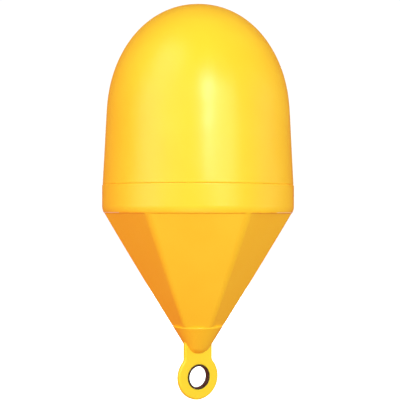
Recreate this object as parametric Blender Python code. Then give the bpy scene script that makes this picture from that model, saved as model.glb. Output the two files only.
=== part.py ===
"""Navigation buoy: a dome and a six-sided cone joined by a waterline band, with a mooring eye.

Frame: +Z up the buoy's axis, Z = 0 at the lower edge of the waterline band, and the bore of the
mooring eye along Y. Lengths are in metres and angles in degrees. Each shell half is foam-filled,
so it is modelled as one closed body of its outer shape.
"""

import math

import bmesh
import bpy
from mathutils import Matrix

# Waterline band
BAND_DIAMETER = 0.400
BAND_HEIGHT = 0.0567
BAND_TOP_ROUND = 0.0018
BAND_CORNER_RADIUS = 0.030
BAND_CORNER_HEIGHT = 0.0135
BAND_WALL = 0.0346

# Dome shell
DOME_STEP = 0.0011
DOME_EDGE_ROUND = 0.0015
DOME_DRAFT = 2.95
SIDE_HEIGHT = 0.136
DOME_RISE = 0.2405
DOME_FULLNESS = 2.08

# Faceted cone shell
FACETS = 6
CONE_LENGTH = 0.2362
CONE_END_RADIUS = 0.0534
CONE_BOW = 0.0013
RIDGE_RADIUS_TOP = 0.022
RIDGE_RADIUS_END = 0.010

# Nose cap
NOSE_BALL_RADIUS = 0.0305
NOSE_LEDGE_ROUND = 0.0015
NOSE_SPIGOT_RADIUS = 0.028
NOSE_SPIGOT_HEIGHT = 0.034

# Mooring eye
EYE_RADIUS = 0.0477
EYE_DROP = 0.0478
EYE_THICKNESS = 0.0105
EYE_EDGE_ROUND = 0.0042
EYE_NECK_WIDTH = 0.0662
EYE_NECK_FILLET = 0.013
EYE_TAIL_WIDTH = 0.036
EYE_SHOULDER_DEPTH = 0.012
EYE_TAIL_DEPTH = 0.022

# Bushing in the eye
BUSHING_BORE_RADIUS = 0.0222
BUSHING_WALL = 0.0040
BUSHING_PROUD = 0.0006
BUSHING_LIP_ROUND = 0.0006

# Seats between pieces
SEAT_GAP = 0.0003
SPIGOT_GAP = 0.0005
SPIGOT_SPLIT = 0.5

# Fineness of the facets
TURNED_SEGMENTS = 72
SMALL_SEGMENTS = 48
DOME_STEPS = 18
CONE_STEPS = 8
ROUND_STEPS = 4
EYE_ARC_STEPS = 28

# Colours (linear) and finishes
SHELL_YELLOW = (0.91, 0.50, 0.012, 1.0)
EYE_YELLOW = (0.93, 0.62, 0.030, 1.0)
BUSHING_DARK = (0.035, 0.014, 0.010, 1.0)


def material(name, colour, roughness, metallic):
    """A Principled material of one colour."""
    made = bpy.data.materials.new(name)
    made.use_nodes = True
    shader = made.node_tree.nodes["Principled BSDF"]
    shader.inputs["Base Color"].default_value = colour
    shader.inputs["Roughness"].default_value = roughness
    shader.inputs["Metallic"].default_value = metallic
    made.diffuse_color = colour
    return made


def place(name, mesh_data, finish, sharp_degrees=30.0):
    """Puts a finished bmesh into the scene as one named object, with smooth shading."""
    bmesh.ops.remove_doubles(mesh_data, verts=mesh_data.verts, dist=1e-6)
    bmesh.ops.recalc_face_normals(mesh_data, faces=mesh_data.faces)
    mesh = bpy.data.meshes.new(name)
    mesh_data.to_mesh(mesh)
    mesh_data.free()
    if finish is not None:
        mesh.materials.append(finish)
    mesh.shade_smooth()
    mesh.set_sharp_from_angle(angle=math.radians(sharp_degrees))
    placed = bpy.data.objects.new(name, mesh)
    bpy.context.scene.collection.objects.link(placed)
    return placed


def arc(centre, radius, start, end, steps):
    """Points (r, z) on an arc, its angles in degrees from the +r direction towards +z."""
    points = []
    for i in range(steps + 1):
        angle = math.radians(start + (end - start) * i / steps)
        points.append(
            (centre[0] + radius * math.cos(angle), centre[1] + radius * math.sin(angle))
        )
    return points


def turned(profile, segments, closed=False):
    """A body of revolution about Z from a profile of (r, z) points, as a bmesh."""
    body = bmesh.new()
    verts = [body.verts.new((r, 0.0, z)) for r, z in profile]
    edges = [body.edges.new(pair) for pair in zip(verts, verts[1:])]
    if closed:
        edges.append(body.edges.new((verts[-1], verts[0])))
    bmesh.ops.spin(
        body,
        geom=verts + edges,
        cent=(0.0, 0.0, 0.0),
        axis=(0.0, 0.0, 1.0),
        angle=math.tau,
        steps=segments,
        use_merge=True,
    )
    return body


def cut(target, cutter):
    """Subtracts a cutter, which stays as a hidden wire guide."""
    cutter.hide_render = True
    cutter.display_type = "WIRE"
    boolean = target.modifiers.new("cut_" + cutter.name, "BOOLEAN")
    boolean.operation = "DIFFERENCE"
    boolean.solver = "EXACT"
    boolean.object = cutter


def band_edge_radius():
    """The band's outer radius where its rounded corner ends, at Z = 0."""
    reach = math.sqrt(BAND_CORNER_RADIUS**2 - BAND_CORNER_HEIGHT**2)
    return BAND_DIAMETER / 2 - BAND_CORNER_RADIUS + reach


def band_bore_radius():
    """The radius of the bore that takes the spigots of both shells."""
    return BAND_DIAMETER / 2 - BAND_WALL


def spigot_radius():
    """The radius of the shells' spigots inside the band."""
    return band_bore_radius() - SPIGOT_GAP


def spigot_meeting():
    """The height inside the band where the two spigots meet."""
    return BAND_HEIGHT * SPIGOT_SPLIT


def cone_slope():
    """How much the cone's ridges narrow for each metre down, with the nose on the same line."""
    return (band_edge_radius() - CONE_END_RADIUS) / CONE_LENGTH


def nose_ball_centre():
    """The height of the ball that rounds off the nose, touching the line of the ridges."""
    tip = -CONE_LENGTH - CONE_END_RADIUS / cone_slope()
    return tip + NOSE_BALL_RADIUS / math.sin(math.atan(cone_slope()))


def nose_end():
    """The height of the nose's lowest point."""
    return nose_ball_centre() - NOSE_BALL_RADIUS


def eye_centre():
    """The height of the centre of the eye's bore."""
    return nose_end() - EYE_DROP


def make_band(finish):
    """The belt round the joint: straight side, small round on top, wide round below."""
    outer = BAND_DIAMETER / 2
    turn = math.degrees(math.asin(BAND_CORNER_HEIGHT / BAND_CORNER_RADIUS))
    top_round = arc(
        (outer - BAND_TOP_ROUND, BAND_HEIGHT - BAND_TOP_ROUND),
        BAND_TOP_ROUND,
        90.0,
        0.0,
        ROUND_STEPS,
    )
    corner = arc(
        (outer - BAND_CORNER_RADIUS, BAND_CORNER_HEIGHT),
        BAND_CORNER_RADIUS,
        0.0,
        -turn,
        ROUND_STEPS,
    )
    bore = [(band_bore_radius(), 0.0), (band_bore_radius(), BAND_HEIGHT)]
    body = turned(top_round + corner + bore, TURNED_SEGMENTS, closed=True)
    return place("waterline_band", body, finish)


def make_dome(finish):
    """The upper shell: a slightly full elliptical dome on a tapered side, with a spigot below.

    The dome is |r / a|^n + |z / b|^n = 1 with n = DOME_FULLNESS, where n = 2 is a plain ellipse.
    With m = n / (n - 1), the side's line, which leans by k and lies at the distance c on the
    dome's centre height, touches the dome where c^m = a^m + (k b)^m.
    """
    base = BAND_HEIGHT + SEAT_GAP
    foot = BAND_DIAMETER / 2 - DOME_STEP
    draft = math.tan(math.radians(DOME_DRAFT))
    centre = BAND_HEIGHT + SIDE_HEIGHT
    reach = foot - draft * (centre - base)
    dual = DOME_FULLNESS / (DOME_FULLNESS - 1.0)
    dome_radius = (reach**dual - (draft * DOME_RISE) ** dual) ** (1.0 / dual)
    start = math.atan((draft * DOME_RISE / dome_radius) ** (dual / 2))
    power = 2.0 / DOME_FULLNESS
    profile = [(0.0, centre + DOME_RISE)]
    for i in range(1, DOME_STEPS + 1):
        angle = math.pi / 2 + (start - math.pi / 2) * i / DOME_STEPS
        height = centre + DOME_RISE * math.sin(angle) ** power
        profile.append((dome_radius * math.cos(angle) ** power, height))
    profile += arc(
        (foot - DOME_EDGE_ROUND, base + DOME_EDGE_ROUND),
        DOME_EDGE_ROUND,
        0.0,
        -90.0,
        ROUND_STEPS,
    )
    floor = spigot_meeting() + SEAT_GAP
    profile += [(spigot_radius(), base), (spigot_radius(), floor), (0.0, floor)]
    return place("dome_shell", turned(profile, TURNED_SEGMENTS), finish)


def facet_angles():
    """Azimuths for one turn of the cone, close together where a ridge is rounded."""
    pitch = 360.0 / FACETS
    across_ridge = (-3.4, -1.7, 0.0, 1.7, 3.4)
    across_flat = (0.15, 0.27, 0.38, 0.5, 0.62, 0.73, 0.85)
    angles = []
    for i in range(FACETS):
        angles += [pitch * i + step for step in across_ridge]
        angles += [pitch * (i + share) for share in across_flat]
    return [math.radians(angle) for angle in angles]


def facet_radius(angle, ridge_reach, ridge_radius):
    """How far a polygon with rounded corners reaches at an azimuth, 0 being on a corner.

    The flats lie at the distance that puts the crown of each rounded corner at ridge_reach.
    """
    half = math.pi / FACETS
    crown = ridge_reach - ridge_radius
    flat = crown * math.cos(half) + ridge_radius
    off_ridge = (angle + half) % (2 * half) - half
    off_flat = half - abs(off_ridge)
    on_flat = flat / math.cos(off_flat)
    if on_flat * math.sin(abs(off_ridge)) > ridge_radius * math.sin(half):
        return on_flat
    sideways = crown * math.sin(off_ridge)
    return crown * math.cos(off_ridge) + math.sqrt(ridge_radius**2 - sideways**2)


def level_outline(z, radii, angles):
    """A closed outline at one height; azimuth 0 points along -Y, where a ridge lies."""
    outline = []
    for radius, angle in zip(radii, angles):
        outline.append((radius * math.sin(angle), -radius * math.cos(angle), z))
    return outline


def loft(sections):
    """Joins closed outlines of equal count with quads and closes both ends with flat faces."""
    body = bmesh.new()
    loops = [[body.verts.new(point) for point in section] for section in sections]
    for upper, lower in zip(loops, loops[1:]):
        for i in range(len(upper)):
            j = (i + 1) % len(upper)
            body.faces.new((upper[i], upper[j], lower[j], lower[i]))
    body.faces.new(loops[0])
    body.faces.new(reversed(loops[-1]))
    return body


def make_cone(finish):
    """The lower shell: six flats under the band, narrowing to the nose, with a spigot on top.

    The ridges bow out from their straight line by up to CONE_BOW, halfway down.
    """
    angles = facet_angles()
    spigot = [spigot_radius()] * len(angles)
    sections = [
        level_outline(spigot_meeting(), spigot, angles),
        level_outline(-SEAT_GAP, spigot, angles),
    ]
    for i in range(CONE_STEPS + 1):
        share = i / CONE_STEPS
        z = -SEAT_GAP - share * (CONE_LENGTH - 2 * SEAT_GAP)
        bow = CONE_BOW * 4 * share * (1 - share)
        reach = band_edge_radius() + cone_slope() * z + bow
        ridge = RIDGE_RADIUS_TOP + share * (RIDGE_RADIUS_END - RIDGE_RADIUS_TOP)
        radii = [facet_radius(angle, reach, ridge) for angle in angles]
        sections.append(level_outline(z, radii, angles))
    cone = place("cone_shell", loft(sections), finish)
    depth = NOSE_SPIGOT_HEIGHT + SEAT_GAP
    bore = NOSE_SPIGOT_RADIUS + SPIGOT_GAP
    low = -CONE_LENGTH - depth
    high = -CONE_LENGTH + depth
    socket = turned([(0.0, high), (bore, high), (bore, low), (0.0, low)], SMALL_SEGMENTS)
    cut(cone, place("nose_socket", socket, None))
    return cone


def make_nose(finish):
    """The nose cap: a ledge, a short cone in line with the ridges and a ball end."""
    slope = math.degrees(math.atan(cone_slope()))
    top = -CONE_LENGTH
    shift = NOSE_LEDGE_ROUND / math.tan(math.radians((90.0 - slope) / 2))
    spigot_top = top + NOSE_SPIGOT_HEIGHT
    profile = [(0.0, spigot_top), (NOSE_SPIGOT_RADIUS, spigot_top), (NOSE_SPIGOT_RADIUS, top)]
    profile += arc(
        (CONE_END_RADIUS - shift, top - NOSE_LEDGE_ROUND),
        NOSE_LEDGE_ROUND,
        90.0,
        -slope,
        ROUND_STEPS,
    )
    ball = arc((0.0, nose_ball_centre()), NOSE_BALL_RADIUS, -slope, -90.0, 2 * ROUND_STEPS)
    profile += ball[:-1] + [(0.0, nose_end())]
    return place("nose_cap", turned(profile, SMALL_SEGMENTS), finish)


def eye_outline(growth):
    """The eye seen along its bore: tail, shoulders, neck, fillets and ring, as (x, z) points.

    growth moves every side outwards by that much, or inwards where it is negative.
    """
    ring = EYE_RADIUS + growth
    neck = EYE_NECK_WIDTH / 2 + growth
    fillet = EYE_NECK_FILLET - growth
    tail = EYE_TAIL_WIDTH / 2 + growth
    centre = eye_centre()
    shoulder = -CONE_LENGTH - EYE_SHOULDER_DEPTH + growth
    tail_top = -CONE_LENGTH + EYE_TAIL_DEPTH + growth
    rise = math.sqrt((ring + fillet) ** 2 - (neck + fillet) ** 2)
    meeting = math.degrees(math.atan2(rise, neck + fillet))
    half = [(tail, tail_top), (tail, shoulder), (neck, shoulder)]
    half += arc((neck + fillet, centre + rise), fillet, 180.0, 180.0 + meeting, ROUND_STEPS)
    half += arc((0.0, centre), ring, meeting, -90.0, EYE_ARC_STEPS)[1:]
    mirrored = [(-x, z) for x, z in reversed(half[:-1])]
    return half + mirrored


def eye_body(growth):
    """The eye's outline through its thickness, with rounded edges, grown by a clearance."""
    deep = EYE_THICKNESS / 2 + growth
    edge = EYE_EDGE_ROUND + growth
    levels = []
    for out, along in arc((0.0, 0.0), edge, 90.0, 0.0, ROUND_STEPS):
        levels.append((growth - edge + out, edge - deep - along))
    levels += [(grown, -y) for grown, y in reversed(levels)]
    return loft([[(x, y, z) for x, z in eye_outline(grown)] for grown, y in levels])


def across_bore(profile):
    """A body turned about the axis of the eye's bore."""
    body = turned(profile, SMALL_SEGMENTS, closed=True)
    lay = Matrix.Rotation(math.radians(90.0), 4, "X")
    to_eye = Matrix.Translation((0.0, 0.0, eye_centre()))
    bmesh.ops.transform(body, matrix=to_eye @ lay, verts=body.verts)
    return body


def make_eye(finish):
    """The mooring eye: a moulded ring on a neck that runs up into the nose cap."""
    eye = place("mooring_eye", eye_body(0.0), finish)
    radius = BUSHING_BORE_RADIUS + BUSHING_WALL + SEAT_GAP
    reach = EYE_THICKNESS
    profile = [(0.0, reach), (radius, reach), (radius, -reach), (0.0, -reach)]
    cut(eye, place("eye_bore", across_bore(profile), None))
    return eye


def make_bushing(finish):
    """The sleeve that lines the eye, a little proud of both faces, with rounded lips."""
    inner = BUSHING_BORE_RADIUS
    outer = inner + BUSHING_WALL
    half = EYE_THICKNESS / 2 + BUSHING_PROUD
    lip = BUSHING_LIP_ROUND
    quarter = (
        ((outer - lip, half - lip), 90.0),
        ((outer - lip, lip - half), 0.0),
        ((inner + lip, lip - half), -90.0),
        ((inner + lip, half - lip), -180.0),
    )
    profile = []
    for centre, start in quarter:
        profile += arc(centre, lip, start, start - 90.0, 2)
    return place("eye_bushing", across_bore(profile), finish)


def main():
    """Builds every piece of the buoy."""
    for old in list(bpy.data.objects):
        bpy.data.objects.remove(old)
    shell = material("shell_yellow", SHELL_YELLOW, 0.38, 0.0)
    eye_finish = material("eye_yellow", EYE_YELLOW, 0.42, 0.0)
    dark = material("bushing_dark", BUSHING_DARK, 0.35, 0.0)
    make_dome(shell)
    make_band(shell)
    make_cone(shell)
    nose = make_nose(shell)
    make_eye(eye_finish)
    cut(nose, place("eye_slot", eye_body(SEAT_GAP), None))
    make_bushing(dark)


main()
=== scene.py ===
"""Looks of a moulded navigation buoy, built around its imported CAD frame.

Every visible piece is a fine surface worked out with numpy from the sizes of the frame's nodes. The
buoy's axis is Z, the lower edge of its waterline band lies at Z = 0 and the bore of its mooring eye
runs along Y. Lengths are in metres, and angles are in degrees unless a name says otherwise.
"""

import logging
import math
from dataclasses import dataclass
from enum import Enum

import bmesh
import bpy
import numpy as np
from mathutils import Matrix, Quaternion, Vector

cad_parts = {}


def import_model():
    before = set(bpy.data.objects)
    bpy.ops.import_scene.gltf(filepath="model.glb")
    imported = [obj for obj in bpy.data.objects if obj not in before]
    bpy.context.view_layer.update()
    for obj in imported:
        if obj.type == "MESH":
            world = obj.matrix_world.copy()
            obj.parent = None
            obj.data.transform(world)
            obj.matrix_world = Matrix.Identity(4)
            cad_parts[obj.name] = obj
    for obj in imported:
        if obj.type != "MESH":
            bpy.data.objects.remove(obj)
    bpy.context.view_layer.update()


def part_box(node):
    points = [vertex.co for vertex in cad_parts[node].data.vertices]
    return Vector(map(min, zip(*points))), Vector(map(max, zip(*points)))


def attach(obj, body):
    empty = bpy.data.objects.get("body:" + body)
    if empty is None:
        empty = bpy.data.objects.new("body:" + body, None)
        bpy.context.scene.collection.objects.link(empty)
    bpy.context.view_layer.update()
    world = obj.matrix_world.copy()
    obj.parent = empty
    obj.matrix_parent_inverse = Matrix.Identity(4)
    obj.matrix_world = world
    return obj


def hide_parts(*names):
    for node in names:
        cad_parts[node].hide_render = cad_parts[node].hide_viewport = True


LOG = logging.getLogger("buoy")

Colour = tuple[float, float, float]

BODY = "root"
WHITE: Colour = (1.0, 1.0, 1.0)

# Gaps between two pieces that rest on each other, between a spigot and the belt's bore, and between
# the eye and the floor.
SEAT_GAP = 0.0003
SPIGOT_GAP = 0.0005
FLOOR_GAP = 0.004

# How far below the nose's ledge the eye's neck narrows to its tail.
EYE_SHOULDER_DEPTH = 0.012

# Edges that turn by more than this many degrees stay sharp, and points closer than this merge.
SHARP_ANGLE = 32.0
MERGE_DISTANCE = 1e-6


class Slot(Enum):
    """The record's material slots."""

    SHELL = "shell_yellow"
    EYE = "eye_yellow"
    BUSHING = "bushing_dark"


class Role(Enum):
    """What a studio light gives to the buoy."""

    FORM = "its shading, with no reflection"
    GLEAM = "its reflection alone"


class Gel(Enum):
    """Colour filters for the studio lights."""

    CLEAR = WHITE
    COOL = (0.40, 1.0, 1.0)
    WARM = (1.0, 0.35, 0.25)


# --------------------------------------------------------------------------- surfaces


def arc(
    centre: tuple[float, float], radius: float, start: float, end: float, count: int
) -> np.ndarray:
    """Points on a circular arc, centre + radius * (cos, sin) of evenly spaced angles.

    Args:
        centre: The arc's centre in the profile's plane.
        radius: The arc's radius.
        start: The first angle, from the first axis towards the second.
        end: The last angle.
        count: How many points to give, both ends included.

    Returns:
        An array of shape (count, 2).
    """
    angles = np.radians(np.linspace(start, end, count))
    spokes = radius * np.stack([np.cos(angles), np.sin(angles)], axis=1)
    return np.array(centre) + spokes


def line(start: tuple[float, float], end: tuple[float, float], count: int) -> np.ndarray:
    """Evenly spaced points from start to end, both included, as a (count, 2) array."""
    return np.linspace(start, end, count)


def turn(profile: np.ndarray, columns: int) -> np.ndarray:
    """A profile of (radius, height) points carried round Z.

    Each point (r, z) goes to (r sin a, -r cos a, z) for evenly spaced azimuths a, so azimuth 0
    points along -Y.

    Args:
        profile: The (radius, height) points, an array of shape (rows, 2).
        columns: How many azimuths the turn has.

    Returns:
        A grid of points of shape (rows, columns, 3).
    """
    azimuth = np.linspace(0.0, math.tau, columns, endpoint=False)
    radius, height = profile[:, :1], profile[:, 1:]
    x = radius * np.sin(azimuth)
    y = -radius * np.cos(azimuth)
    z = np.broadcast_to(height, x.shape)
    return np.stack([x, y, z], axis=2)


def quads(rows: int, columns: int, closed_rows: bool) -> np.ndarray:
    """Corner numbers of the quads of a grid whose columns always close on themselves.

    Args:
        rows: The grid's rows.
        columns: The grid's columns.
        closed_rows: Whether the last row also joins the first.

    Returns:
        An array of shape (quads, 4).
    """
    row = np.arange(rows if closed_rows else rows - 1)[:, None]
    column = np.arange(columns)[None, :]
    next_row = (row + 1) % rows
    next_column = (column + 1) % columns
    corners = [
        row * columns + column,
        row * columns + next_column,
        next_row * columns + next_column,
        next_row * columns + column,
    ]
    return np.stack(corners, axis=2).reshape(-1, 4)


def smooth(mesh: bpy.types.Mesh) -> None:
    """Shades a mesh smooth, with sharp edges where it turns by more than SHARP_ANGLE."""
    mesh.shade_smooth()
    mesh.set_sharp_from_angle(angle=math.radians(SHARP_ANGLE))


def surface(name: str, grid: np.ndarray, closed_rows: bool = False) -> bpy.types.Object:
    """Makes a closed mesh object from a grid of points.

    Rows that shrink to a point become a pole, because equal points are merged.

    Args:
        name: The object's name.
        grid: Points of shape (rows, columns, 3).
        closed_rows: Whether the last row joins the first, as on a ring.

    Returns:
        The new object, with its faces pointing outwards.
    """
    rows, columns = grid.shape[:2]
    mesh = bpy.data.meshes.new(name)
    mesh.from_pydata(grid.reshape(-1, 3).tolist(), [], quads(rows, columns, closed_rows).tolist())
    body = bmesh.new()
    body.from_mesh(mesh)
    bmesh.ops.remove_doubles(body, verts=body.verts, dist=MERGE_DISTANCE)
    bmesh.ops.recalc_face_normals(body, faces=body.faces)
    body.to_mesh(mesh)
    body.free()
    smooth(mesh)
    made = bpy.data.objects.new(name, mesh)
    bpy.context.scene.collection.objects.link(made)
    return made


def carve(target: bpy.types.Object, cutter: bpy.types.Object) -> None:
    """Subtracts a cutter from a target's mesh and removes the cutter."""
    boolean = target.modifiers.new("carve", "BOOLEAN")
    boolean.operation = "DIFFERENCE"
    boolean.solver = "EXACT"
    boolean.object = cutter
    bpy.context.view_layer.update()
    evaluated = target.evaluated_get(bpy.context.evaluated_depsgraph_get())
    carved = bpy.data.meshes.new_from_object(evaluated)
    target.modifiers.remove(boolean)
    target.data = carved
    smooth(carved)
    bpy.data.objects.remove(cutter)


# --------------------------------------------------------------------------- finishes


class NodeSheet:
    """A shorthand for wiring one material's nodes."""

    NOISE_SPAN = (0.3, 0.7)

    def __init__(self, name: str) -> None:
        """Starts a new material with only its Principled shader and output."""
        self.material = bpy.data.materials.new(name)
        self.material.use_nodes = True
        self.tree = self.material.node_tree
        self.shader = self.tree.nodes["Principled BSDF"]

    def add(self, kind: str, **settings: object) -> bpy.types.Node:
        """Adds a node, setting its properties.

        Args:
            kind: The node's type name, such as "ShaderNodeBump".
            **settings: Properties of the node and their values.

        Returns:
            The new node.
        """
        node = self.tree.nodes.new(kind)
        for key, value in settings.items():
            setattr(node, key, value)
        return node

    def link(self, source: bpy.types.NodeSocket, target: bpy.types.NodeSocket) -> None:
        """Joins an output to an input."""
        self.tree.links.new(source, target)

    def noise(self, scale: float, detail: float, rough: float) -> bpy.types.NodeSocket:
        """A three-dimensional noise on Object coordinates.

        Args:
            scale: Features for each metre.
            detail: How many finer octaves it holds.
            rough: How strong the finer octaves are.

        Returns:
            The noise's value.
        """
        place = self.add("ShaderNodeTexCoord")
        noise = self.add("ShaderNodeTexNoise")
        noise.inputs["Scale"].default_value = scale
        noise.inputs["Detail"].default_value = detail
        noise.inputs["Roughness"].default_value = rough
        self.link(place.outputs["Object"], noise.inputs["Vector"])
        return noise.outputs["Fac"]

    def spread(self, value: bpy.types.NodeSocket, low: float, high: float) -> bpy.types.NodeSocket:
        """Carries the span that a noise usually covers to the span from low to high."""
        remap = self.add("ShaderNodeMapRange")
        remap.inputs["From Min"].default_value = self.NOISE_SPAN[0]
        remap.inputs["From Max"].default_value = self.NOISE_SPAN[1]
        remap.inputs["To Min"].default_value = low
        remap.inputs["To Max"].default_value = high
        self.link(value, remap.inputs["Value"])
        return remap.outputs["Result"]

    def blend(self, share: bpy.types.NodeSocket, first: Colour, second: Colour) -> None:
        """Makes the base colour run from first to second as share goes from 0 to 1."""
        mix = self.add("ShaderNodeMix", data_type="RGBA")
        mix.inputs["A"].default_value = (*first, 1.0)
        mix.inputs["B"].default_value = (*second, 1.0)
        self.link(share, mix.inputs["Factor"])
        self.link(mix.outputs["Result"], self.shader.inputs["Base Color"])

    def bump(
        self, height: bpy.types.NodeSocket, depth: float, below: bpy.types.NodeSocket | None = None
    ) -> bpy.types.NodeSocket:
        """A bump as deep as depth, laid over another bump's normal where one is given."""
        bump = self.add("ShaderNodeBump")
        bump.inputs["Strength"].default_value = 1.0
        bump.inputs["Distance"].default_value = depth
        self.link(height, bump.inputs["Height"])
        if below is not None:
            self.link(below, bump.inputs["Normal"])
        return bump.outputs["Normal"]


@dataclass(frozen=True)
class MouldedPlastic:
    """Satin polyethylene as it comes out of a mould.

    The pigment drifts a little over the skin, the gloss varies in soft patches, and the surface
    holds slow swells under a fine orange-peel grain.

    Attributes:
        name: The material's name.
        light: Colour where the pigment is thinnest.
        deep: Colour where it is richest.
        gloss: Lowest and highest roughness.
        drift_scale: Pigment patches for each metre.
        patch_scale: Gloss patches for each metre.
        swell_scale: Swells for each metre.
        swell_depth: Height of the swells.
        grain_scale: Orange-peel cells for each metre.
        grain_depth: Height of the grain.
        refraction: The plastic's index of refraction.
    """

    name: str
    light: Colour
    deep: Colour
    gloss: tuple[float, float] = (0.28, 0.36)
    drift_scale: float = 7.0
    patch_scale: float = 21.0
    swell_scale: float = 16.0
    swell_depth: float = 0.0005
    grain_scale: float = 520.0
    grain_depth: float = 0.00003
    refraction: float = 1.5

    def build(self) -> bpy.types.Material:
        """Makes the material."""
        sheet = NodeSheet(self.name)
        drift = sheet.noise(self.drift_scale, detail=3.0, rough=0.55)
        sheet.blend(sheet.spread(drift, 0.0, 1.0), self.light, self.deep)
        patches = sheet.noise(self.patch_scale, detail=4.0, rough=0.6)
        sheet.link(sheet.spread(patches, *self.gloss), sheet.shader.inputs["Roughness"])
        hollows = sheet.noise(self.swell_scale, detail=1.0, rough=0.4)
        swell = sheet.bump(hollows, self.swell_depth)
        cells = sheet.noise(self.grain_scale, detail=2.0, rough=0.5)
        grain = sheet.bump(cells, self.grain_depth, swell)
        sheet.link(grain, sheet.shader.inputs["Normal"])
        sheet.shader.inputs["IOR"].default_value = self.refraction
        return sheet.material


@dataclass(frozen=True)
class WornSleeve:
    """Dark brown bearing plastic, polished by a shackle in fine hoops round its bore.

    Attributes:
        name: The material's name.
        dark: Colour in the hollows.
        rubbed: Colour where it is rubbed.
        rub_scale: Rubbed patches for each metre.
        hoop_scale: Hoops for each metre along the bore.
        hoop_waver: How far the hoops stray from true circles.
        hoop_depth: Height of the hoops.
        gloss: Lowest and highest roughness.
    """

    name: str
    dark: Colour
    rubbed: Colour
    rub_scale: float = 90.0
    hoop_scale: float = 420.0
    hoop_waver: float = 1.5
    hoop_depth: float = 0.00006
    gloss: tuple[float, float] = (0.22, 0.45)

    def build(self) -> bpy.types.Material:
        """Makes the material."""
        sheet = NodeSheet(self.name)
        rub = sheet.spread(sheet.noise(self.rub_scale, detail=4.0, rough=0.6), 0.0, 1.0)
        sheet.blend(rub, self.dark, self.rubbed)
        sheet.link(sheet.spread(rub, *self.gloss), sheet.shader.inputs["Roughness"])
        place = sheet.add("ShaderNodeTexCoord")
        hoops = sheet.add("ShaderNodeTexWave", wave_type="BANDS", bands_direction="Y")
        hoops.inputs["Scale"].default_value = self.hoop_scale
        hoops.inputs["Distortion"].default_value = self.hoop_waver
        sheet.link(place.outputs["Object"], hoops.inputs["Vector"])
        height = sheet.bump(hoops.outputs["Fac"], self.hoop_depth)
        sheet.link(height, sheet.shader.inputs["Normal"])
        return sheet.material


@dataclass(frozen=True)
class StudioPaper:
    """Plain white paper for the floor, bright enough to read as white.

    Attributes:
        name: The material's name.
        shade: How much light the paper sends back.
        fibre_shade: How much darker its fibres are.
        fibre_scale: Fibres for each metre.
        roughness: Its roughness.
        glow: Light of its own, which lifts the last grey out of it.
    """

    name: str
    shade: float = 0.88
    fibre_shade: float = 0.01
    fibre_scale: float = 40.0
    roughness: float = 0.9
    glow: float = 1.0

    def build(self) -> bpy.types.Material:
        """Makes the material."""
        sheet = NodeSheet(self.name)
        fibres = sheet.noise(self.fibre_scale, detail=5.0, rough=0.6)
        shade = sheet.spread(fibres, self.shade - self.fibre_shade, self.shade)
        sheet.link(shade, sheet.shader.inputs["Base Color"])
        sheet.shader.inputs["Roughness"].default_value = self.roughness
        sheet.shader.inputs["Emission Color"].default_value = (*WHITE, 1.0)
        sheet.shader.inputs["Emission Strength"].default_value = self.glow
        return sheet.material


SHELL_PLASTIC = MouldedPlastic(
    name="shell_plastic",
    light=(0.95, 0.45, 0.023),
    deep=(0.94, 0.42, 0.018),
)
EYE_PLASTIC = MouldedPlastic(
    name="eye_plastic",
    light=(0.92, 0.50, 0.024),
    deep=(0.91, 0.46, 0.020),
    gloss=(0.34, 0.46),
    swell_depth=0.0002,
    swell_scale=60.0,
)
SLEEVE_PLASTIC = WornSleeve(
    name="sleeve_plastic",
    dark=(0.030, 0.011, 0.008),
    rubbed=(0.070, 0.032, 0.024),
)
FLOOR_PAPER = StudioPaper(name="floor_paper")


def install(
    piece: bpy.types.Object, nodes: tuple[str, ...], finish: bpy.types.Material
) -> None:
    """Dresses a finished piece and puts it in the place of its CAD nodes.

    Args:
        piece: The new piece.
        nodes: The CAD nodes that it stands for.
        finish: Its material.
    """
    piece.data.materials.clear()
    piece.data.materials.append(finish)
    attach(piece, BODY)
    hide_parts(*nodes)
    faces = len(piece.data.polygons)
    LOG.info("%s: %d faces, in place of %s", piece.name, faces, ", ".join(nodes))


# --------------------------------------------------------------------------- sub-assemblies


@dataclass
class WaterlineBand:
    """The belt that covers the joint between the two shells.

    Attributes:
        radius: Outer radius of its straight side.
        height: Height of its top face above its lower edge.
        wall: Thickness from its side to the bore that takes the spigots.
        top_round: Radius of its upper edge.
        corner_radius: Radius of its lower corner.
        corner_height: Height at which the lower corner starts.
        columns: Azimuths in one turn.
    """

    radius: float
    height: float
    wall: float = 0.0346
    top_round: float = 0.0018
    corner_radius: float = 0.030
    corner_height: float = 0.0135
    columns: int = 288

    @classmethod
    def from_frame(cls) -> "WaterlineBand":
        """Takes the radius and height from the CAD node."""
        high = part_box("waterline_band")[1]
        return cls(radius=high.x, height=high.z)

    @property
    def bore(self) -> float:
        """Radius of the bore that takes the spigots."""
        return self.radius - self.wall

    @property
    def edge_radius(self) -> float:
        """Radius at the lower edge, where the rounded corner ends."""
        reach = math.sqrt(self.corner_radius**2 - self.corner_height**2)
        return self.radius - self.corner_radius + reach

    def profile(self) -> np.ndarray:
        """The belt's section, as (radius, height) points.

        It runs round the upper edge, down the straight side, round the lower corner, in along the
        foot and up the bore.
        """
        turned_down = math.degrees(math.asin(self.corner_height / self.corner_radius))
        shoulder = self.height - self.top_round
        top = arc((self.radius - self.top_round, shoulder), self.top_round, 90, 0, count=9)
        side = line((self.radius, shoulder), (self.radius, self.corner_height), count=14)
        centre = (self.radius - self.corner_radius, self.corner_height)
        corner = arc(centre, self.corner_radius, 0, -turned_down, count=10)
        foot = line((self.edge_radius, 0.0), (self.bore, 0.0), count=6)
        bore = line((self.bore, 0.0), (self.bore, self.height), count=5)
        return np.concatenate([top, side[1:-1], corner, foot[1:-1], bore])

    def build(self, finish: bpy.types.Material) -> None:
        """Builds and installs the belt."""
        grid = turn(self.profile(), self.columns)
        install(surface("belt", grid, closed_rows=True), ("waterline_band",), finish)


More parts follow.
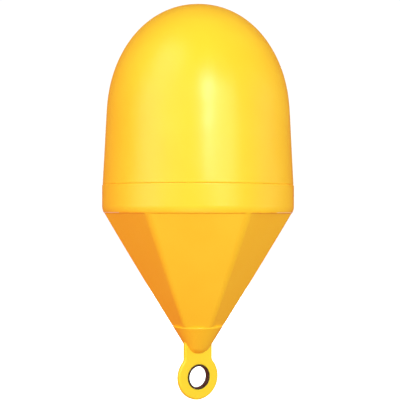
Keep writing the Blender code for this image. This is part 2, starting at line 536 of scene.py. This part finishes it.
@dataclass
class DomeShell:
    """The upper shell: a full elliptical dome on a tapered round side, with a spigot below.

    Attributes:
        band: The belt that it stands on.
        top: Height of its crown.
        foot: Radius where its side meets the belt.
        floor: Height of its spigot's lower face.
        rise: Height of the elliptical part.
        fullness: Exponent of the dome's curve, which is a plain ellipse at 2.
        draft: Taper of the side.
        edge_round: Radius of its lower edge.
        swell: Depth of the slow hollows that a moulded skin cools into.
        windings: For each of the two sines that lay out the hollows, its waves round the dome and
            the phase that it gains from foot to crown, in radians.
        columns: Azimuths in one turn.
    """

    band: WaterlineBand
    top: float
    foot: float
    floor: float
    rise: float = 0.2405
    fullness: float = 2.08
    draft: float = 2.95
    edge_round: float = 0.0015
    swell: float = 0.00025
    windings: tuple[tuple[float, float], ...] = ((5.0, 9.0), (3.0, -14.0))
    columns: int = 288

    @classmethod
    def from_frame(cls, band: WaterlineBand) -> "DomeShell":
        """Takes the crown, foot and floor from the CAD node."""
        low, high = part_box("dome_shell")
        return cls(band=band, top=high.z, foot=high.x, floor=low.z)

    def profile(self) -> np.ndarray:
        """The shell's half section from crown to axis.

        The dome is |x / a|^n + |z / b|^n = 1, with the fullness n and the rise b. The side is the
        line x + k z = c about the dome's centre, and with m = n / (n - 1) it touches the dome
        where c^m = a^m + (k b)^m, which gives the half width a.
        """
        base = self.band.height + SEAT_GAP
        slope = math.tan(math.radians(self.draft))
        centre = self.top - self.rise
        reach = self.foot - slope * (centre - base)
        dual = self.fullness / (self.fullness - 1.0)
        width = (reach**dual - (slope * self.rise) ** dual) ** (1.0 / dual)
        touch = math.atan((slope * self.rise / width) ** (dual / 2))
        angle = np.linspace(math.pi / 2, touch, num=110)
        across = np.cos(angle) ** (2.0 / self.fullness)
        up = np.sin(angle) ** (2.0 / self.fullness)
        dome = np.stack([width * across, centre + self.rise * up], axis=1)
        dome[0, 0] = 0.0
        rounding = self.edge_round
        edge = arc((self.foot - rounding, base + rounding), rounding, 0, -90, count=8)
        side = line(tuple(dome[-1]), tuple(edge[0]), count=44)
        spigot = self.band.bore - SPIGOT_GAP
        shoulder = line(tuple(edge[-1]), (spigot, base), count=5)
        wall = line((spigot, base), (spigot, self.floor), count=4)
        under = line((spigot, self.floor), (0.0, self.floor), count=6)
        return np.concatenate([dome, side[1:], edge[1:], shoulder[1:], wall[1:], under[1:]])

    def build(self, finish: bpy.types.Material) -> None:
        """Builds and installs the shell.

        Its radius is drawn in by up to swell. How far follows the product of two sines that wind
        round the dome in opposite directions, and it fades out at the crown and at the foot.
        """
        grid = turn(self.profile(), self.columns)
        azimuth = np.linspace(0.0, math.tau, self.columns, endpoint=False)
        share = (grid[..., 2] - self.band.height) / (self.top - self.band.height)
        fade = np.sin(np.pi * np.clip(share, 0.0, 1.0))
        sines = [np.sin(count * azimuth + gain * share) for count, gain in self.windings]
        depth = (1.0 + np.prod(sines, axis=0)) / 2
        drawn = 1.0 - self.swell * fade * depth / self.band.radius
        grid[..., 0] *= drawn
        grid[..., 1] *= drawn
        install(surface("dome", grid), ("dome_shell",), finish)


@dataclass
class ConeShell:
    """The lower shell: flats with rounded ridges that narrow from the belt to the nose.

    Attributes:
        band: The belt above it.
        crown: Height of its spigot's top face.
        end: Height of its lower end.
        end_reach: Radius of its ridges where the nose begins.
        bow: How far the ridges bow out from a straight line, halfway down.
        facets: How many flats it has.
        ridge_top: Radius of the ridges' rounding under the belt.
        ridge_end: The same at the lower end.
        root: Radius of the fillet between the flats and the belt's underside.
        ridge_span: Share of a flat's width, on each side of a ridge, with closer azimuths.
        rows: Levels from the belt to the lower end.
    """

    band: WaterlineBand
    crown: float
    end: float
    end_reach: float = 0.0534
    bow: float = 0.0013
    facets: int = 6
    ridge_top: float = 0.022
    ridge_end: float = 0.010
    root: float = 0.003
    ridge_span: float = 0.075
    rows: int = 60

    @classmethod
    def from_frame(cls, band: WaterlineBand) -> "ConeShell":
        """Takes the crown and the lower end from the CAD node."""
        low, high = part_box("cone_shell")
        return cls(band=band, crown=high.z, end=low.z)

    @property
    def slope(self) -> float:
        """How much the ridges narrow for each metre down."""
        return (self.band.edge_radius - self.end_reach) / (SEAT_GAP - self.end)

    def azimuths(self) -> np.ndarray:
        """One turn of azimuths, with more of them on the ridges than on the flats."""
        pitch = math.tau / self.facets
        near = np.linspace(0.0, self.ridge_span, num=12, endpoint=False)
        far = np.linspace(self.ridge_span, 0.5, num=16, endpoint=False)
        half = np.concatenate([near, far]) * pitch
        sector = np.concatenate([half, [pitch / 2], pitch - half[:0:-1]])
        starts = np.arange(self.facets)[:, None] * pitch
        return (starts + sector[None, :]).reshape(-1)

    def outline(self, azimuth: np.ndarray, reach: np.ndarray, ridge: np.ndarray) -> np.ndarray:
        """Radius of a polygon with rounded corners, whose corners lie at azimuth 0 and each pitch.

        On a flat the radius is the flat's distance over the cosine of the angle from the flat's
        middle. On a corner it is the far crossing of the ray with the corner's circle.

        Args:
            azimuth: Azimuths in radians, one row.
            reach: Radius of the corners' crowns, one column.
            ridge: Radius of the corners' rounding, one column.

        Returns:
            Radii of shape (rows, columns).
        """
        half = math.pi / self.facets
        off_ridge = (azimuth + half) % (2 * half) - half
        centre = reach - ridge
        flat = centre * math.cos(half) + ridge
        on_flat = flat / np.cos(half - np.abs(off_ridge))
        sideways = centre * np.sin(off_ridge)
        inside = np.clip(ridge**2 - sideways**2, 0.0, None)
        on_ridge = centre * np.cos(off_ridge) + np.sqrt(inside)
        past = on_flat * np.sin(np.abs(off_ridge)) > ridge * math.sin(half)
        return np.where(past, on_flat, on_ridge)

    def build(self, finish: bpy.types.Material) -> None:
        """Builds and installs the shell.

        From top to bottom its rows are the spigot, the flats' fillet into the belt's underside, as
        a quarter circle flaring outwards, and the flats down to a closed lower end. Down the flats
        the ridges run straight but for a bow of 4 s (1 - s) times its depth, with s from 0 at the
        belt to 1 at the lower end.
        """
        azimuth = self.azimuths()[None, :]
        top = -SEAT_GAP
        fillet = np.sin(np.linspace(0.0, math.pi / 2, num=8)) * self.root
        straight = np.linspace(self.root, top - self.end, self.rows)
        drop = np.concatenate([fillet[:-1], straight])[:, None]
        share = drop / (top - self.end)
        bow = self.bow * 4.0 * share * (1.0 - share)
        reach = self.band.edge_radius - self.slope * (drop + SEAT_GAP) + bow
        ridge = self.ridge_top + (self.ridge_end - self.ridge_top) * share
        radius = self.outline(azimuth, reach, ridge)
        room = np.clip(self.band.edge_radius - radius[:1], 0.0, self.root)
        left = np.clip(1.0 - drop / self.root, 0.0, 1.0)
        radius = radius + room * (1.0 - np.sqrt(1.0 - left**2))
        height = np.broadcast_to(top - drop, radius.shape)
        skin = np.stack([radius * np.sin(azimuth), -radius * np.cos(azimuth), height], axis=2)
        spigot = self.band.bore - SPIGOT_GAP
        around = np.stack([np.sin(azimuth[0]), -np.cos(azimuth[0])], axis=1)
        rings = [(0.0, self.crown), (spigot, self.crown), (spigot, top)]
        above = [np.column_stack([around * r, np.full(len(around), z)]) for r, z in rings]
        below = skin[-1] * np.array([0.0, 0.0, 1.0])
        grid = np.concatenate([np.stack(above), skin, below[None]])
        install(surface("cone", grid), ("cone_shell",), finish)


@dataclass
class EyePlate:
    """The mooring eye's shape: a ring on a neck, with a tail that runs up into the nose.

    Attributes:
        centre: Height of the bore's centre.
        ring: Outer radius of the ring.
        top: Height of the tail's end.
        half_depth: Half of the plate's thickness.
        bore: Radius of the hole for the sleeve.
        shoulder: Height where the neck narrows to the tail.
        neck: Half width of the neck.
        tail: Half width of the tail.
        fillet: Radius between the neck and the ring.
        edge: Rounding of the outer edges.
        lip: Rounding of the bore's edges.
    """

    centre: float
    ring: float
    top: float
    half_depth: float
    bore: float
    shoulder: float
    neck: float = 0.0331
    tail: float = 0.018
    fillet: float = 0.013
    edge: float = 0.0042
    lip: float = 0.0008

    @classmethod
    def from_frame(cls, cone_end: float) -> "EyePlate":
        """Takes the plate's sizes from the CAD nodes of the eye and its sleeve.

        Args:
            cone_end: Height of the cone's lower end, from which the shoulder is set down.
        """
        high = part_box("mooring_eye")[1]
        sleeve_low, sleeve_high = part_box("eye_bushing")
        return cls(
            centre=(sleeve_low.z + sleeve_high.z) / 2,
            ring=high.x,
            top=high.z,
            half_depth=high.y,
            bore=(sleeve_high.z - sleeve_low.z) / 2 + SEAT_GAP,
            shoulder=cone_end - SEAT_GAP - EYE_SHOULDER_DEPTH,
        )

    def outline(self, growth: float) -> np.ndarray:
        """The plate seen along its bore, moved outwards by growth, as (x, z) points.

        The right half runs from the tail's top down its side, out along the shoulder, down the
        neck, round the fillet and round the ring to its lowest point, and the left half mirrors it.
        """
        ring, neck, tail = self.ring + growth, self.neck + growth, self.tail + growth
        fillet = self.fillet - growth
        shoulder = self.shoulder + growth
        rise = math.sqrt((ring + fillet) ** 2 - (neck + fillet) ** 2)
        meeting = math.degrees(math.atan2(rise, neck + fillet))
        side = line((tail, self.top + growth), (tail, shoulder), count=8)
        step = line((tail, shoulder), (neck, shoulder), count=6)
        length = line((neck, shoulder), (neck, self.centre + rise), count=16)
        turn_out = arc((neck + fillet, self.centre + rise), fillet, 180, 180 + meeting, count=12)
        round_ring = arc((0.0, self.centre), ring, meeting, -90, count=84)
        half = np.concatenate([side, step[1:], length[1:], turn_out[1:], round_ring[1:]])
        mirror = half[-2::-1] * np.array([-1.0, 1.0])
        return np.concatenate([half, mirror])

    def section(self, growth: float) -> np.ndarray:
        """The plate's edge from its front face to its back face, as (growth, y) points."""
        deep = self.half_depth + growth
        edge = self.edge + growth
        quarter = arc((growth - edge, 0.0), edge, 90, 0, count=12)
        front = np.stack([quarter[:, 0], edge - deep - quarter[:, 1]], axis=1)
        back = front[::-1] * np.array([1.0, -1.0])
        return np.concatenate([front, back])

    def skin(self, growth: float) -> np.ndarray:
        """The plate's rounded outer edge as a grid, one row for each point of its section."""
        rows = []
        for grown, y in self.section(growth):
            rim = self.outline(grown)
            rows.append(np.column_stack([rim[:, 0], np.full(len(rim), y), rim[:, 1]]))
        return np.stack(rows)

    def toward_bore(self, rim: np.ndarray, share: float, y: float, radius: float) -> np.ndarray:
        """A row that lies a share of the way from a rim to the bore's circle.

        Args:
            rim: The rim's points of shape (columns, 3).
            share: 0 on the rim and 1 on the circle.
            y: Where the row lies along the bore.
            radius: The circle's radius.

        Returns:
            Points of shape (columns, 3).
        """
        centre = np.array([0.0, 0.0, self.centre])
        spokes = (rim - centre) * np.array([1.0, 0.0, 1.0])
        circle = centre + spokes / np.linalg.norm(spokes, axis=1, keepdims=True) * radius
        row = rim * (1.0 - share) + circle * share
        row[:, 1] = y
        return row


@dataclass
class NoseCap:
    """The nose: a ledge under the flats, a short cone and a ball end, slotted for the eye.

    Attributes:
        ledge: Height of its ledge.
        end: Height of its lowest point.
        spigot_top: Height of its spigot's top face.
        reach: Radius where the ledge's corner would be.
        slope: How much it narrows for each metre down.
        ball: Radius of its ball end.
        spigot: Radius of its spigot.
        ledge_round: Radius of the ledge's edge.
        columns: Azimuths in one turn.
    """

    ledge: float
    end: float
    spigot_top: float
    reach: float
    slope: float
    ball: float = 0.0305
    spigot: float = 0.028
    ledge_round: float = 0.0015
    columns: int = 192

    @classmethod
    def from_frame(cls, cone: ConeShell) -> "NoseCap":
        """Takes the heights from the CAD node, and the ledge's corner and slope from the cone."""
        low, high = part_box("nose_cap")
        return cls(
            ledge=cone.end - SEAT_GAP,
            end=low.z,
            spigot_top=high.z,
            reach=cone.end_reach,
            slope=cone.slope,
        )

    def profile(self) -> np.ndarray:
        """The cap's half section, as (radius, height) points.

        It runs out over the spigot's top, down its side, out along the ledge, round the ledge's
        edge, down the cone and round the ball to the axis.
        """
        lean = math.degrees(math.atan(self.slope))
        inset = self.ledge_round / math.tan(math.radians((90.0 - lean) / 2))
        top = line((0.0, self.spigot_top), (self.spigot, self.spigot_top), count=4)
        wall = line((self.spigot, self.spigot_top), (self.spigot, self.ledge), count=4)
        corner = (self.reach - inset, self.ledge - self.ledge_round)
        edge = arc(corner, self.ledge_round, 90, -lean, count=12)
        seat = line((self.spigot, self.ledge), tuple(edge[0]), count=6)
        ball = arc((0.0, self.end + self.ball), self.ball, -lean, -90, count=40)
        cone = line(tuple(edge[-1]), tuple(ball[0]), count=24)
        ball[-1, 0] = 0.0
        return np.concatenate([top, wall[1:], seat[1:], edge[1:], cone[1:], ball[1:]])

    def build(self, plate: EyePlate, finish: bpy.types.Material) -> None:
        """Builds the cap, cuts the eye's slot out of it and installs it."""
        cap = surface("nose", turn(self.profile(), self.columns))
        skin = plate.skin(SEAT_GAP)
        front = plate.toward_bore(skin[0], 1.0, skin[0, 0, 1], 0.0)
        back = plate.toward_bore(skin[-1], 1.0, skin[-1, 0, 1], 0.0)
        cutter = surface("slot", np.concatenate([front[None], skin, back[None]]))
        carve(cap, cutter)
        install(cap, ("nose_cap",), finish)


@dataclass
class MooringEye:
    """The eye itself, a plate with a rounded edge and a lined bore."""

    plate: EyePlate

    def build(self, finish: bpy.types.Material) -> None:
        """Builds and installs the eye.

        The grid's rows run across the outer edge, over the back face to the bore, through the bore
        with a small rounded lip at each end, and over the front face to the start.
        """
        plate = self.plate
        skin = plate.skin(0.0)
        deep = plate.half_depth
        shares = np.linspace(0.0, 1.0, num=10)[1:-1]
        mouth = plate.bore + plate.lip
        back = [plate.toward_bore(skin[-1], share, deep, mouth) for share in shares]
        quarter = arc((mouth, deep - plate.lip), plate.lip, 90, 180, count=5)
        through = np.concatenate([quarter, quarter[::-1] * np.array([1.0, -1.0])])
        bore = [plate.toward_bore(skin[-1], 1.0, y, radius) for radius, y in through]
        front = [plate.toward_bore(skin[0], share, -deep, mouth) for share in shares[::-1]]
        grid = np.concatenate([skin, np.stack(back + bore + front)])
        install(surface("eye", grid, closed_rows=True), ("mooring_eye",), finish)


@dataclass
class EyeSleeve:
    """The dark sleeve in the eye, a little proud of both faces.

    Attributes:
        plate: The plate that holds it.
        half_length: Half of its length.
        wall: Its thickness.
        lip: Radius of its rounded ends.
        columns: Angles in one turn.
    """

    plate: EyePlate
    half_length: float
    wall: float = 0.0040
    lip: float = 0.0006
    columns: int = 160

    @classmethod
    def from_frame(cls, plate: EyePlate) -> "EyeSleeve":
        """Takes the length from the CAD node."""
        return cls(plate=plate, half_length=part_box("eye_bushing")[1].y)

    def build(self, finish: bpy.types.Material) -> None:
        """Builds and installs the sleeve: its section turned about the axis of the bore."""
        outer = self.plate.bore - SEAT_GAP
        inner = outer - self.wall
        deep, lip = self.half_length - self.lip, self.lip
        section = np.concatenate(
            [
                arc((outer - lip, deep), lip, 90, 0, count=6),
                arc((outer - lip, -deep), lip, 0, -90, count=6),
                arc((inner + lip, -deep), lip, -90, -180, count=6),
                line((inner, -deep), (inner, deep), count=8)[1:-1],
                arc((inner + lip, deep), lip, 180, 90, count=6),
            ]
        )
        upright = turn(section, self.columns)
        across, down, along = upright[..., 0], upright[..., 1], upright[..., 2]
        laid = np.stack([across, along, self.plate.centre + down], axis=2)
        install(surface("sleeve", laid, closed_rows=True), ("eye_bushing",), finish)


# --------------------------------------------------------------------------- studio


@dataclass(frozen=True)
class Softbox:
    """A rectangular studio light that faces the buoy and casts no shadow.

    It stands for a source far wider than itself, whose shadows would be too soft to see.

    Attributes:
        name: The light's name.
        azimuth: Where it stands, from the camera's side, positive to the camera's right.
        elevation: How high it stands over the point that it faces.
        size: Its width and height.
        power: Its power in watts.
        distance: How far it stands from that point.
        gel: The filter over it.
        role: What it gives to the buoy.
        aim: Height of the point that it faces.
    """

    name: str
    azimuth: float
    elevation: float
    size: tuple[float, float]
    power: float
    distance: float = 3.0
    gel: Gel = Gel.COOL
    role: Role = Role.FORM
    aim: float = 0.12

    def build(self, front: float) -> None:
        """Places the light.

        Args:
            front: The camera's azimuth.
        """
        lamp = bpy.data.lights.new(self.name, "AREA")
        lamp.shape = "RECTANGLE"
        lamp.size, lamp.size_y = self.size
        lamp.energy = self.power
        lamp.color = self.gel.value
        lamp.use_shadow = False
        placed = bpy.data.objects.new(self.name, lamp)
        placed.location = stand(front + self.azimuth, self.elevation, self.distance, self.aim)
        face(placed, Vector((0.0, 0.0, self.aim)))
        placed.visible_camera = False
        placed.visible_diffuse = self.role is Role.FORM
        placed.visible_glossy = self.role is Role.GLEAM
        bpy.context.scene.collection.objects.link(placed)


def stand(azimuth: float, elevation: float, distance: float, aim: float) -> Vector:
    """A point seen from the axis at an azimuth and an elevation.

    Args:
        azimuth: 0 along -Y, positive towards +X.
        elevation: Angle above the level.
        distance: Distance from the aimed point.
        aim: Height of the aimed point.

    Returns:
        The point.
    """
    turned, raised = math.radians(azimuth), math.radians(elevation)
    flat = distance * math.cos(raised)
    height = aim + distance * math.sin(raised)
    return Vector((flat * math.sin(turned), -flat * math.cos(turned), height))


def face(thing: bpy.types.Object, target: Vector) -> None:
    """Turns an object's -Z towards a target, with its Y upwards."""
    thing.rotation_mode = "QUATERNION"
    thing.rotation_quaternion = (target - thing.location).to_track_quat("-Z", "Y")


@dataclass
class Studio:
    """The camera, the white floor, the sky that fills in, and the softboxes.

    The sky gives a warm fill and the softboxes a cool light, so the yellow plastic turns towards
    orange where it faces away from them.

    Attributes:
        floor: Height of the floor.
        azimuth: The camera's azimuth.
        distance: The camera's distance from the buoy's axis.
        eye_level: The camera's height.
        lens: Its focal length in millimetres, for its 36 mm sensor.
        shift: Its shift sideways and upwards.
        roll: How far it is rolled.
        backdrop: Strength of the white that the camera sees behind everything.
        fill: Strength of the sky's light.
        fill_tint: Colour of the sky's light.
        floor_radius: Radius of the floor.
        softboxes: The lights.
    """

    floor: float
    azimuth: float = -30.0
    distance: float = 2.17
    eye_level: float = 0.0
    lens: float = 93.3
    shift: tuple[float, float] = (0.0050, 0.03125)
    roll: float = 0.12
    backdrop: float = 1.05
    fill: float = 0.55
    fill_tint: Colour = (1.0, 0.16, 0.14)
    floor_radius: float = 14.0
    softboxes: tuple[Softbox, ...] = (
        Softbox("side_left", azimuth=-58.0, elevation=10.0, size=(1.6, 2.0), power=46.0),
        Softbox("front_left", azimuth=-30.0, elevation=12.0, size=(1.4, 1.8), power=17.0),
        Softbox("front_right", azimuth=30.0, elevation=12.0, size=(1.4, 1.8), power=107.0),
        Softbox("side_right", azimuth=88.0, elevation=6.0, size=(2.0, 2.0), power=23.0),
        Softbox("high_left", azimuth=-45.0, elevation=45.0, size=(1.6, 1.4), power=44.0),
        Softbox(
            "low_left", azimuth=-60.0, elevation=-30.0, size=(1.6, 1.4), power=14.0, gel=Gel.WARM
        ),
        Softbox("low_front", azimuth=0.0, elevation=-35.0, size=(2.0, 1.4), power=16.0),
        Softbox(
            "back", azimuth=180.0, elevation=18.0, size=(2.4, 2.0), power=110.0, distance=3.2
        ),
        Softbox(
            "strip",
            azimuth=11.4,
            elevation=21.5,
            size=(0.30, 1.06),
            power=24.0,
            distance=2.6,
            gel=Gel.CLEAR,
            role=Role.GLEAM,
        ),
    )

    def build(self) -> None:
        """Sets up everything round the buoy."""
        self.place_camera()
        self.lay_floor()
        self.light_sky()
        for softbox in self.softboxes:
            softbox.build(self.azimuth)
        view = bpy.context.scene.view_settings
        view.view_transform = "Standard"
        view.look = "None"

    def place_camera(self) -> None:
        """Stands the camera at the level of the buoy's waterline, looking straight ahead."""
        lens = bpy.data.cameras.new("camera")
        lens.lens = self.lens
        lens.shift_x, lens.shift_y = self.shift
        camera = bpy.data.objects.new("camera", lens)
        camera.location = stand(self.azimuth, 0.0, self.distance, self.eye_level)
        face(camera, Vector((0.0, 0.0, self.eye_level)))
        camera.rotation_quaternion @= Quaternion((0.0, 0.0, 1.0), math.radians(self.roll))
        bpy.context.scene.collection.objects.link(camera)
        bpy.context.scene.camera = camera

    def lay_floor(self) -> None:
        """Lays a round white floor just under the eye, which neither lights nor shades the buoy.

        Its points are the polar grid (r cos a, r sin a), with r rising as the square of the row.
        """
        radius = (np.linspace(0.0, 1.0, num=24) ** 2 * self.floor_radius)[:, None]
        angle = np.linspace(0.0, math.tau, num=96, endpoint=False)[None, :]
        x, y = radius * np.cos(angle), radius * np.sin(angle)
        grid = np.stack([x, y, np.full(x.shape, self.floor)], axis=2)
        floor = surface("floor", grid)
        floor.data.materials.append(FLOOR_PAPER.build())
        floor.visible_diffuse = False
        floor.visible_glossy = False
        floor.visible_shadow = False

    def light_sky(self) -> None:
        """Makes the sky white to the camera, and a soft warm fill to all that it lights."""
        world = bpy.data.worlds.new("sky")
        world.use_nodes = True
        bpy.context.scene.world = world
        nodes, links = world.node_tree.nodes, world.node_tree.links
        nodes.clear()
        shown = nodes.new("ShaderNodeBackground")
        shown.inputs["Color"].default_value = (*WHITE, 1.0)
        shown.inputs["Strength"].default_value = self.backdrop
        filling = nodes.new("ShaderNodeBackground")
        filling.inputs["Color"].default_value = (*self.fill_tint, 1.0)
        filling.inputs["Strength"].default_value = self.fill
        path = nodes.new("ShaderNodeLightPath")
        mix = nodes.new("ShaderNodeMixShader")
        output = nodes.new("ShaderNodeOutputWorld")
        links.new(path.outputs["Is Camera Ray"], mix.inputs["Fac"])
        links.new(filling.outputs["Background"], mix.inputs[1])
        links.new(shown.outputs["Background"], mix.inputs[2])
        links.new(mix.outputs["Shader"], output.inputs["Surface"])


def corners(box: tuple[Vector, Vector]) -> list[list[float]]:
    """A box's two corners as plain lists."""
    return [list(corner) for corner in box]


def main() -> None:
    """Builds the buoy piece by piece, and then the studio round it."""
    logging.basicConfig(level=logging.INFO, format="%(name)s: %(message)s", force=True)
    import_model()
    shell_finish = SHELL_PLASTIC.build()

    band = WaterlineBand.from_frame()
    band.build(shell_finish)
    DomeShell.from_frame(band).build(shell_finish)
    cone = ConeShell.from_frame(band)
    cone.build(shell_finish)
    plate = EyePlate.from_frame(cone.end)
    NoseCap.from_frame(cone).build(plate, shell_finish)
    MooringEye(plate).build(EYE_PLASTIC.build())
    EyeSleeve.from_frame(plate).build(SLEEVE_PLASTIC.build())

    Studio(floor=plate.centre - plate.ring - FLOOR_GAP).build()


if __name__ == "__main__":
    main()
